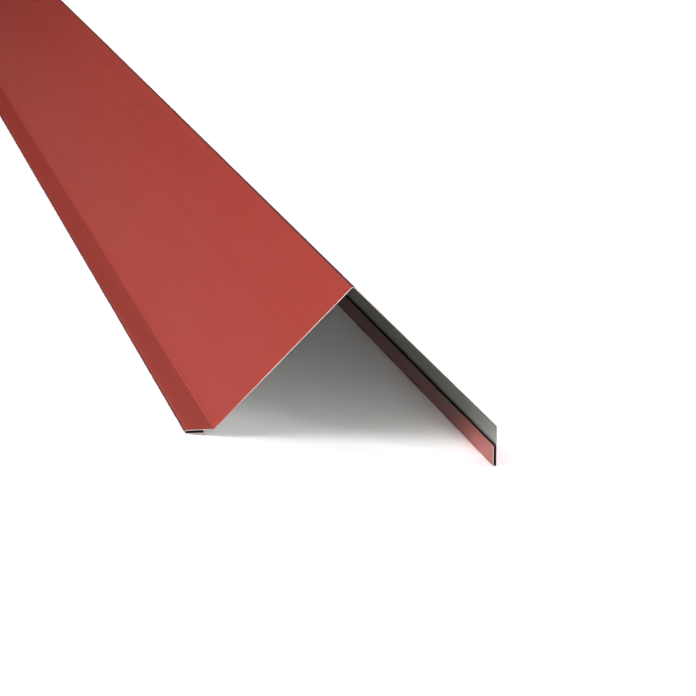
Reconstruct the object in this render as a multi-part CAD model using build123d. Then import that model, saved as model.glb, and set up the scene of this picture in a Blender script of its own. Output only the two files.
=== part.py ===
from build123d import *
import math
import os

# Folded angle trim for a roof edge, all sizes in millimetres.
# One strip of pre-painted sheet steel, bent to one constant section and left at its stock length.
# The painted side is the outside of the angle, and the bare back coat is the inside.

# stock
length = 2000.0
sheet = 0.5

# section, measured on the painted side between the sharp corners of its straight stretches
roof_flange = 100.0
wall_flange = 106.0
roof_lip = 15.0
wall_lip = 21.5

# folds, with one press radius on the inner side of every bend
ridge_angle = 90.0
lip_bend = 45.0
inner_bend = 1.0
outer_bend = inner_bend + sheet

# hems: an edge folded back on the inner side, with a gap left open between it and the lip
hem_gap = 1.0
hem_radius = hem_gap / 2 + sheet
roof_hem = 10.0
wall_hem = 11.0


def heading(degrees):
    return Vector(math.cos(math.radians(degrees)), math.sin(math.radians(degrees)))


# The section is drawn with the ridge at the origin and the painted side above it.
# The roof flange runs down to the left, and the wall flange runs down to the right.
roof_way = 180 + ridge_angle / 2
wall_way = -ridge_angle / 2

# the roof lip kicks out of the angle, and the wall lip turns into it
roof_lip_way = roof_way - lip_bend
wall_lip_way = wall_way - lip_bend

ridge = Vector(0, 0)
roof_corner = ridge + heading(roof_way) * roof_flange
wall_corner = ridge + heading(wall_way) * wall_flange

# each hem turns half a circle round its eye, at the outer end of its lip, towards the inner side
roof_turn = roof_corner + heading(roof_lip_way) * (roof_lip - hem_radius)
wall_turn = wall_corner + heading(wall_lip_way) * (wall_lip - hem_radius)
roof_inward = heading(roof_lip_way + 90)
wall_inward = heading(wall_lip_way - 90)
roof_eye = roof_turn + roof_inward * hem_radius
wall_eye = wall_turn + wall_inward * hem_radius


def bend(corner, before, after, radius):
    """Where a rounded corner starts, the middle of its arc, and where it ends."""
    to_before = (before - corner).normalized()
    to_after = (after - corner).normalized()
    to_centre = (to_before + to_after).normalized()
    half = math.radians(to_before.get_angle(to_after) / 2)
    reach = radius / math.tan(half)
    crest = corner + to_centre * (radius / math.sin(half) - radius)
    return corner + to_before * reach, crest, corner + to_after * reach


def hem(turn, eye, lip_way, inward, reach):
    """The half circle round the eye, and the straight return behind it."""
    crest = eye + heading(lip_way) * hem_radius
    folded = eye + inward * hem_radius
    edge = folded - heading(lip_way) * (reach - hem_radius)
    return ThreePointArc(turn, crest, folded), Line(folded, edge)


def painted_line():
    """The painted side of the section, from the roof hem's edge over the ridge to the wall hem's."""
    roof_bend = bend(roof_corner, roof_turn, ridge, inner_bend)
    ridge_bend = bend(ridge, roof_corner, wall_corner, outer_bend)
    wall_bend = bend(wall_corner, ridge, wall_turn, outer_bend)
    roof_fold, roof_return = hem(roof_turn, roof_eye, roof_lip_way, roof_inward, roof_hem)
    wall_fold, wall_return = hem(wall_turn, wall_eye, wall_lip_way, wall_inward, wall_hem)
    return Wire([
        roof_return,
        roof_fold,
        Line(roof_turn, roof_bend[0]),
        ThreePointArc(*roof_bend),
        Line(roof_bend[2], ridge_bend[0]),
        ThreePointArc(*ridge_bend),
        Line(ridge_bend[2], wall_bend[0]),
        ThreePointArc(*wall_bend),
        Line(wall_bend[2], wall_turn),
        wall_fold,
        wall_return,
    ])


def section():
    """The painted line given its thickness, one sheet towards the inner side."""
    return make_face(offset(painted_line(), amount=sheet, side=Side.LEFT).edges())


def angle_trim():
    """The section levelled on both hems, stood up, and drawn out to the stock length along +Y."""
    span = wall_eye - roof_eye
    tilt = math.degrees(math.atan2(span.Y, span.X))
    upright = section().rotate(Axis.Z, -tilt).rotate(Axis.X, 90)
    body = extrude(upright, amount=length, dir=(0, 1, 0))
    box = body.bounding_box()
    middle = box.center()
    return body.moved(Location((-middle.X, -middle.Y, -box.min.Z)))


os.makedirs("parts", exist_ok=True)
export_step(angle_trim(), "parts/angle_trim.step")
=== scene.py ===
import math

import bmesh
import bpy
from mathutils import Matrix, Vector


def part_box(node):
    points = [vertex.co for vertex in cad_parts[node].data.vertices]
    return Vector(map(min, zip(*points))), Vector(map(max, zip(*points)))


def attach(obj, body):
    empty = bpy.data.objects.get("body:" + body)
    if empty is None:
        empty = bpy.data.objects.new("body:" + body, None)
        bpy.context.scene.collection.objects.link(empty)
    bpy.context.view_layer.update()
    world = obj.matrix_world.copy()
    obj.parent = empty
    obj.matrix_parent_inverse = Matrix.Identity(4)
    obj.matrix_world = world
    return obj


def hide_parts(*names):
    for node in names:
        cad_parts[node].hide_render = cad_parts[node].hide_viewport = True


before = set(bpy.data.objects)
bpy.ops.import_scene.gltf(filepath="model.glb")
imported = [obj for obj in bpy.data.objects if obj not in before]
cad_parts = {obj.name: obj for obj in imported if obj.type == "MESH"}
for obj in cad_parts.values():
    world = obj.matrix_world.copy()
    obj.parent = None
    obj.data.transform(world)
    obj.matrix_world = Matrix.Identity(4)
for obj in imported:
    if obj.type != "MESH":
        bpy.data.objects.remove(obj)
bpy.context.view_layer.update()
trimLow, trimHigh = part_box("angle_trim")
print("frame loaded")


def addNode(tree, kind, inputs=None, **settings):
    # inputs holds a value for a socket, or the output that feeds it
    node = tree.nodes.new("ShaderNode" + kind)
    for name, value in settings.items():
        setattr(node, name, value)
    for socket, value in (inputs or {}).items():
        if isinstance(value, bpy.types.NodeSocket):
            tree.links.new(value, node.inputs[socket])
        else:
            node.inputs[socket].default_value = value
    return node


def newMaterial(name):
    material = bpy.data.materials.new(name)
    material.use_nodes = True
    material.node_tree.nodes.clear()
    return material, material.node_tree


def closeMaterial(tree, shader):
    addNode(tree, "OutputMaterial", {"Surface": shader.outputs[0]})


def objectSpace(tree, squeeze=1):
    # object coordinates, squeezed along the trim where a pattern is drawn out along it
    coords = addNode(tree, "TexCoord").outputs["Object"]
    return addNode(tree, "Mapping", {"Vector": coords, "Scale": (1, squeeze, 1)}).outputs[0]


def noise(tree, space, size, detail=2):
    # size is the width of one blotch, in metres
    settings = {"Vector": space, "Scale": 1 / size, "Detail": detail}
    return addNode(tree, "TexNoise", settings).outputs["Fac"]


def spread(tree, fac, low, high, tight=0.15):
    # noise stays near its middle, so only that part of it, tight to each side, goes from low to high
    ends = {"Value": fac, "From Min": 0.5 - tight, "From Max": 0.5 + tight, "To Min": low, "To Max": high}
    return addNode(tree, "MapRange", ends).outputs[0]


def mathNode(tree, operation, *values):
    return addNode(tree, "Math", dict(enumerate(values)), operation=operation).outputs[0]


def shade(tree, colour, amount):
    # the colour made lighter or darker by a factor that changes over the surface
    return addNode(tree, "VectorMath", {0: colour, "Scale": amount}, operation="SCALE").outputs[0]


def ramp(tree, fac, stops):
    # runs through the stops, each a place from 0 to 1 and a colour
    node = addNode(tree, "ValToRGB", {"Fac": fac})
    elements = node.color_ramp.elements
    for place, colour in stops[1:-1]:
        elements.new(place)
    for element, (place, colour) in zip(elements, stops):
        element.position = place
        element.color = (*colour, 1)
    return node.outputs["Color"]


def bump(tree, height, depth, under=None):
    # depth is how far the height goes from 0 to 1, in metres
    node = addNode(tree, "Bump", {"Height": height, "Distance": depth, "Strength": 1})
    if under:
        tree.links.new(under, node.inputs["Normal"])
    return node.outputs[0]


def newPiece(name, bm):
    mesh = bpy.data.meshes.new(name)
    bm.to_mesh(mesh)
    bm.free()
    piece = bpy.data.objects.new(name, mesh)
    bpy.context.scene.collection.objects.link(piece)
    return piece


# the folded section, in metres and degrees, at the sizes of the solid it stands for
trim = {
    "sheet": 0.0005,
    "roofFlange": 0.100,
    "wallFlange": 0.106,
    "roofLip": 0.015,
    "wallLip": 0.0215,
    "roofHem": 0.010,
    "wallHem": 0.011,
    "hemGap": 0.001,
    "pressRadius": 0.001,
    "ridgeTurn": 90,
    "lipTurn": 45,
    "hemTurn": 180,
    "facet": 5.625,         # degrees of a bend that one facet takes
    "cutAngle": 60,         # only the cut edges meet more sharply than this
    "shearRound": 0.0001,   # how far the shears round a cut edge over
    "shearFacets": 2,
}


def foldLine(bm, depth):
    # walks the section as a press brake folds it, from the roof hem's edge over the ridge to the wall
    # hem's edge, at a depth under the painted side, and gives the middles of the two hems and their radius
    hemRadius = trim["hemGap"] / 2 + trim["sheet"]
    outerRadius = trim["pressRadius"] + trim["sheet"]
    ridgeReach = outerRadius * math.tan(math.radians(trim["ridgeTurn"]) / 2)
    wallReach = outerRadius * math.tan(math.radians(trim["lipTurn"]) / 2)
    roofReach = trim["pressRadius"] * math.tan(math.radians(trim["lipTurn"]) / 2)
    roofCover = trim["roofHem"] - hemRadius  # how far each return covers its lip
    wallCover = trim["wallHem"] - hemRadius
    # each fold is a straight run, then a turn in degrees, clockwise below zero, its radius on the painted
    # side, and whether the run and the turn belong to a hem
    folds = [
        (roofCover, -trim["hemTurn"], hemRadius, True),
        (roofCover, 0, 0, True),
        (trim["roofLip"] - trim["roofHem"] - roofReach, trim["lipTurn"], trim["pressRadius"], False),
        (trim["roofFlange"] - roofReach - ridgeReach, -trim["ridgeTurn"], outerRadius, False),
        (trim["wallFlange"] - ridgeReach - wallReach, -trim["lipTurn"], outerRadius, False),
        (trim["wallLip"] - trim["wallHem"] - wallReach, 0, 0, False),
        (wallCover, -trim["hemTurn"], hemRadius, True),
        (wallCover, 0, 0, True),
    ]
    ahead, inward, spinAxis = Vector((-1, 0, 0)), Vector((0, 0, 1)), Vector((0, -1, 0))
    hemmed, bendShade = bm.verts.layers.float["hemmed"], bm.verts.layers.float["bendShade"]
    pen = bm.verts.new(inward * depth)
    eyes = []
    for run, degrees, radius, inHem in folds:
        pen[hemmed] = max(pen[hemmed], inHem)
        pen = bmesh.ops.extrude_vert_indiv(bm, verts=[pen])["verts"][0]
        pen.co += ahead * run
        walked = [pen]
        if degrees:
            turn = math.radians(degrees)
            eye = pen.co - inward * depth - inward * math.copysign(radius, degrees)
            steps = round(abs(degrees) / trim["facet"])
            bmesh.ops.spin(bm, geom=[pen], cent=eye, axis=spinAxis, angle=turn, steps=steps)
            bm.verts.ensure_lookup_table()
            walked += bm.verts[-steps:]
            pen = walked[-1]
            swing = Matrix.Rotation(turn, 3, spinAxis)
            ahead, inward = swing @ ahead, swing @ inward
            if inHem:
                eyes.append(eye)
        for place, vert in enumerate(walked):
            vert[hemmed] = inHem
            if degrees < 0:
                # painted shade: the paint is darkened most in the middle of an outward bend, for the shade
                # that falls on the bend, and over more of it in a full fold
                vert[bendShade] = math.sin(math.pi * place / steps) ** (-trim["hemTurn"] / degrees)
    return eyes, hemRadius


# the order of the finishes on the trim
paintSlot, backSlot, cutSlot, hemShadeSlot = range(4)


def foldTrim():
    bm = bmesh.new()
    bm.verts.layers.float.new("hemmed")         # 1 in the two hems
    bm.verts.layers.float.new("bendShade")        # 1 in the middle of the outward bends, where shade is painted onto the paint
    bm.verts.layers.float.new("under")          # 0 on the painted side, 1 on the back coat
    under, hemmed = bm.verts.layers.float["under"], bm.verts.layers.float["hemmed"]
    eyes, hemRadius = foldLine(bm, 0)
    painted = len(bm.verts)
    foldLine(bm, trim["sheet"])
    for vert in list(bm.verts)[painted:]:
        vert[under] = 1
    bmesh.ops.bridge_loops(bm, edges=bm.edges[:])

    # level the section on the round ends of both hems, over the middle of the solid
    span = eyes[1] - eyes[0]
    level = Matrix.Rotation(math.atan2(span.z, span.x), 3, "Y")
    bmesh.ops.rotate(bm, verts=bm.verts, matrix=level, cent=(0, 0, 0))
    middle = level @ ((eyes[0] + eyes[1]) / 2)
    place = Vector(((trimLow.x + trimHigh.x) / 2, trimLow.y, hemRadius))
    bmesh.ops.translate(bm, verts=bm.verts, vec=place - middle)

    drawn = bmesh.ops.extrude_face_region(bm, geom=bm.faces[:])
    far = [g for g in drawn["geom"] if isinstance(g, bmesh.types.BMVert)]
    bmesh.ops.translate(bm, verts=far, vec=(0, trimHigh.y - trimLow.y, 0))
    bmesh.ops.recalc_face_normals(bm, faces=bm.faces)

    # bare steel wherever a face joins the two sides, and smooth shading only where the faces are narrow
    narrow = 2 * trim["pressRadius"]
    for face in bm.faces:
        sides = {round(v[under]) for v in face.verts}
        if len(sides) == 2:
            face.material_index = cutSlot
        elif 0 in sides:
            face.material_index = paintSlot
        # painted shade: the faces inside both hems take the dark hem material
        elif all(v[hemmed] > 0.5 for v in face.verts):
            face.material_index = hemShadeSlot
        else:
            face.material_index = backSlot
        across = min(e.calc_length() for e in face.edges)
        face.smooth = face.material_index != cutSlot and across < narrow
    bm.verts.layers.float.remove(hemmed)
    cutAngle = math.radians(trim["cutAngle"])
    sheared = [e for e in bm.edges if e.calc_face_angle(0) > cutAngle]
    bmesh.ops.bevel(bm, geom=sheared, offset=trim["shearRound"], offset_type="OFFSET", affect="EDGES",
                    segments=trim["shearFacets"], profile=0.5, material=-1, clamp_overlap=True)
    return newPiece("foldedTrim", bm)


# brick-red polyester coil coating, satin, drawn out a little along the coil
paint = {
    "colour": (0.445, 0.061, 0.046),
    "mottle": 0.010,           # how much lighter and darker the patches are
    "mottleSize": 0.030,
    "pigment": 0.04,
    "pigmentSize": 0.0005,
    "streak": 0.005,
    "streakSize": 0.0035,      # across the trim
    "streakSqueeze": 0.02,     # draws the streaks out fifty times along it
    "sheenSize": 0.007,        # across the trim, where the coat is a little duller or glossier
    "paintedFoldShade": 0.12,         # painted shade: how dark the paint is made in the middle of an outward bend
    "foldDull": 0.60,          # how much rougher it is there
    "roughness": (0.33, 0.37),
    "gloss": 0.42,             # a plain plastic has 0.5
    "peelSize": 0.0016,        # orange peel of the stoved coat
    "peelDepth": 0.0000025,
    "grainSize": 0.00025,
    "grainDepth": 0.0000008,
}


def paintedSteel():
    material, tree = newMaterial("brickRedCoating")
    space = objectSpace(tree)
    alongCoil = objectSpace(tree, paint["streakSqueeze"])
    blotches = noise(tree, space, paint["mottleSize"], detail=4)
    mottle = spread(tree, blotches, -paint["mottle"], paint["mottle"])
    specks = noise(tree, space, paint["pigmentSize"])
    pigment = spread(tree, specks, -paint["pigment"], paint["pigment"])
    streaks = noise(tree, alongCoil, paint["streakSize"], detail=3)
    streak = spread(tree, streaks, -paint["streak"], paint["streak"])
    amount = mathNode(tree, "ADD", mottle, pigment)
    amount = mathNode(tree, "ADD", amount, streak)
    amount = mathNode(tree, "ADD", amount, 1.0)
    # painted shade: the paint is darkened along the outward bends, and made rougher there
    bendShade = addNode(tree, "Attribute", attribute_name="bendShade").outputs["Fac"]
    fold = addNode(tree, "MapRange", {"Value": bendShade, "To Min": 1.0, "To Max": paint["paintedFoldShade"]})
    amount = mathNode(tree, "MULTIPLY", amount, fold.outputs[0])
    colour = shade(tree, paint["colour"], amount)
    sheen = noise(tree, alongCoil, paint["sheenSize"], detail=3)
    roughness = spread(tree, sheen, *paint["roughness"])
    roughness = mathNode(tree, "MULTIPLY_ADD", bendShade, paint["foldDull"], roughness)
    peel = bump(tree, noise(tree, space, paint["peelSize"]), paint["peelDepth"])
    grain = bump(tree, noise(tree, space, paint["grainSize"]), paint["grainDepth"], peel)
    shader = addNode(tree, "BsdfPrincipled", {"Base Color": colour, "Roughness": roughness,
                                              "Specular IOR Level": paint["gloss"], "Normal": grain})
    closeMaterial(tree, shader)
    return material


# thin grey back coat with a good deal of metal in it, roller lines along the coil
backing = {
    "colour": (0.438, 0.448, 0.412),
    "lines": 0.06,             # how much lighter and darker the lines are
    "lineSize": 0.0012,        # across the trim
    "lineSqueeze": 0.01,       # draws the lines out a hundred times along it
    "lineDepth": 0.000001,
    "cloud": 0.05,
    "cloudSize": 0.020,
    "cloudSqueeze": 0.3,
    "roughness": (0.26, 0.34),
    "metallic": 0.90,
}


def backCoat():
    material, tree = newMaterial("greyBackCoat")
    lines = noise(tree, objectSpace(tree, backing["lineSqueeze"]), backing["lineSize"], detail=3)
    cloud = noise(tree, objectSpace(tree, backing["cloudSqueeze"]), backing["cloudSize"], detail=4)
    lined = spread(tree, lines, 1 - backing["lines"], 1 + backing["lines"])
    clouded = spread(tree, cloud, 1 - backing["cloud"], 1 + backing["cloud"])
    colour = shade(tree, backing["colour"], mathNode(tree, "MULTIPLY", lined, clouded))
    roughness = spread(tree, cloud, *backing["roughness"])
    normal = bump(tree, lines, backing["lineDepth"])
    shader = addNode(tree, "BsdfPrincipled", {"Base Color": colour, "Metallic": backing["metallic"],
                                              "Roughness": roughness, "Normal": normal})
    closeMaterial(tree, shader)
    return material


# a sheared edge through the sheet: paint, a bright shorn band, a dull torn band, back coat
shear = {
    "layers": [
        (0.00, paint["colour"]),
        (0.03, (0.80, 0.48, 0.43)),
        (0.09, (0.98, 0.86, 0.79)),
        (0.38, (0.96, 0.82, 0.75)),
        (0.48, (0.14, 0.09, 0.08)),
        (0.95, (0.10, 0.07, 0.06)),
        (1.00, backing["colour"]),
    ],
    "metallic": 0.8,
    "roughness": 0.45,
    "tearSize": 0.00012,
    "tearDepth": 0.00002,
}


def cutSteel():
    material, tree = newMaterial("shearedSteelEdge")
    under = addNode(tree, "Attribute", attribute_name="under").outputs["Fac"]
    layers = ramp(tree, under, shear["layers"])
    tears = noise(tree, objectSpace(tree), shear["tearSize"], detail=3)
    normal = bump(tree, tears, shear["tearDepth"])
    shader = addNode(tree, "BsdfPrincipled", {"Base Color": layers, "Metallic": shear["metallic"],
                                              "Roughness": shear["roughness"], "Normal": normal})
    closeMaterial(tree, shader)
    return material


# painted shade: inside the hems the coat is painted dark and dull, for the shade that falls in the narrow
# folds
hemShade = {
    "colour": (0.030, 0.010, 0.008),
    "cloud": 0.3,
    "cloudSize": 0.004,
    "cloudSqueeze": 0.1,
    "roughness": (0.6, 0.8),
}


def paintedHemShade():
    material, tree = newMaterial("paintedShadeInHems")
    cloud = noise(tree, objectSpace(tree, hemShade["cloudSqueeze"]), hemShade["cloudSize"], detail=4)
    clouded = spread(tree, cloud, 1 - hemShade["cloud"], 1 + hemShade["cloud"])
    colour = shade(tree, hemShade["colour"], clouded)
    roughness = spread(tree, cloud, *hemShade["roughness"])
    shader = addNode(tree, "BsdfPrincipled", {"Base Color": colour, "Roughness": roughness})
    closeMaterial(tree, shader)
    return material


foldedTrim = foldTrim()
for finish in (paintedSteel(), backCoat(), cutSteel(), paintedHemShade()):
    foldedTrim.data.materials.append(finish)
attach(foldedTrim, "root")
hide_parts("angle_trim")
print("trim folded:", len(foldedTrim.data.polygons), "faces")


studio = {
    "floorSize": 80,
    "floorColour": (0.4, 0.4, 0.4, 1),    # what lights the trim from below
    # added to the floor that is seen, so that it is white, and a little bluer, so that its shadows are grey
    "floorLift": (1.53, 1.53, 1.59, 1),
    "floorGlow": 0.049,
    "farGlow": (1.05, 1.9),               # how far out the floor that is seen turns plain white
    "lamps": {
        # power in watts, size in metres, where it stands, where it points
        "keyLamp": (11.4, 1.2, (-1.6, -2.4, 1.3), (-0.05, -0.9, 0.05)),
        "lowKeyLamp": (42.5, 1.0, (-2.2, -2.0, 0.7), (-0.05, -0.9, 0.05)),
        "farKeyLamp": (25, 2.0, (-2.2, -0.2, 1.5), (-0.05, 0, 0.05)),
        "fillLamp": (12.5, 1.5, (1.8, -2.8, 1.3), (0, -1, 0.05)),
        "farFillLamp": (34, 2.5, (2.4, 0.4, 1.5), (0, 0.4, 0.05)),
        "backLamp": (17, 1.8, (0, 0.5, 2.2), (0, -0.9, 0.05)),
        "cardLamp": (1.7, 0.4, (0, -1.6, 0.03), (0.03, -1.0, 0.3)),  # low, for the inner side
    },
    # height over the horizon, 1 at the top, and the light there: low down it is dark, because a white
    # horizon would mirror in the satin paint
    "sky": ((0.0, 0.0), (0.50, 0.0), (0.60, 0.05), (1.0, 0.05)),
}


def aim(obj, place, target, roll=0):
    turn = (Vector(target) - Vector(place)).to_track_quat("-Z", "Y").to_matrix().to_4x4()
    obj.matrix_world = Matrix.Translation(place) @ turn @ Matrix.Rotation(math.radians(roll), 4, "Z")


def seenRay(tree):
    # 1 for what the camera, a gloss or a glass sees, 0 for what only lights
    path = addNode(tree, "LightPath").outputs
    mirrored = mathNode(tree, "MAXIMUM", path["Is Camera Ray"], path["Is Glossy Ray"])
    return mathNode(tree, "MAXIMUM", mirrored, path["Is Transmission Ray"])


def buildFloor():
    bm = bmesh.new()
    bmesh.ops.create_grid(bm, x_segments=1, y_segments=1, size=studio["floorSize"] / 2)
    floor = newPiece("studioFloor", bm)
    material, tree = newMaterial("paleFloor")
    plain = addNode(tree, "BsdfDiffuse", {"Color": studio["floorColour"]})
    lift = addNode(tree, "BsdfDiffuse", {"Color": studio["floorLift"]})
    away = addNode(tree, "VectorMath", {0: objectSpace(tree)}, operation="LENGTH").outputs["Value"]
    near, far = studio["farGlow"]
    ends = {"Value": away, "From Min": near, "From Max": far, "To Min": studio["floorGlow"], "To Max": 1.0}
    strength = addNode(tree, "MapRange", ends, interpolation_type="SMOOTHSTEP").outputs[0]
    glow = addNode(tree, "Emission", {"Strength": strength})
    lifted = addNode(tree, "AddShader", {0: plain.outputs[0], 1: lift.outputs[0]})
    seen = addNode(tree, "AddShader", {0: lifted.outputs[0], 1: glow.outputs[0]})
    pick = addNode(tree, "MixShader", {"Fac": seenRay(tree), 1: plain.outputs[0], 2: seen.outputs[0]})
    closeMaterial(tree, pick)
    floor.data.materials.append(material)


def buildWorld():
    world = bpy.data.worlds.new("dimStudio")
    world.use_nodes = True
    tree = world.node_tree
    tree.nodes.clear()
    direction = addNode(tree, "TexCoord").outputs["Generated"]
    height = addNode(tree, "SeparateXYZ", {0: direction}).outputs["Z"]
    sky = ramp(tree, height, [(place, (light, light, light)) for place, light in studio["sky"]])
    shader = addNode(tree, "Background", {"Color": sky})
    addNode(tree, "OutputWorld", {"Surface": shader.outputs[0]})
    bpy.context.scene.world = world


def addLamp(name, power, size, place, target):
    lamp = bpy.data.lights.new(name, "AREA")
    lamp.energy = power
    lamp.size = size
    obj = bpy.data.objects.new(name, lamp)
    bpy.context.scene.collection.objects.link(obj)
    aim(obj, place, target)


buildFloor()
buildWorld()
for name, setting in studio["lamps"].items():
    addLamp(name, *setting)
bpy.context.scene.view_settings.view_transform = "Standard"
print("studio lit")

# the photograph's view: from beyond the near end, rolled a little against the level floor
view = {
    "stands": (-0.3270, -2.4860, 0.3228),
    "aims": (-0.0062, -1.0058, 0.0538),
    "roll": 8.659,
    "lens": 158.91,
    "sensor": 36,
    "clipEnd": 50,
}


def addCamera():
    lens = bpy.data.cameras.new("photoCamera")
    lens.lens = view["lens"]
    lens.sensor_width = view["sensor"]
    lens.clip_end = view["clipEnd"]
    obj = bpy.data.objects.new("photoCamera", lens)
    bpy.context.scene.collection.objects.link(obj)
    aim(obj, view["stands"], view["aims"], view["roll"])
    bpy.context.scene.camera = obj


addCamera()
print("camera set")
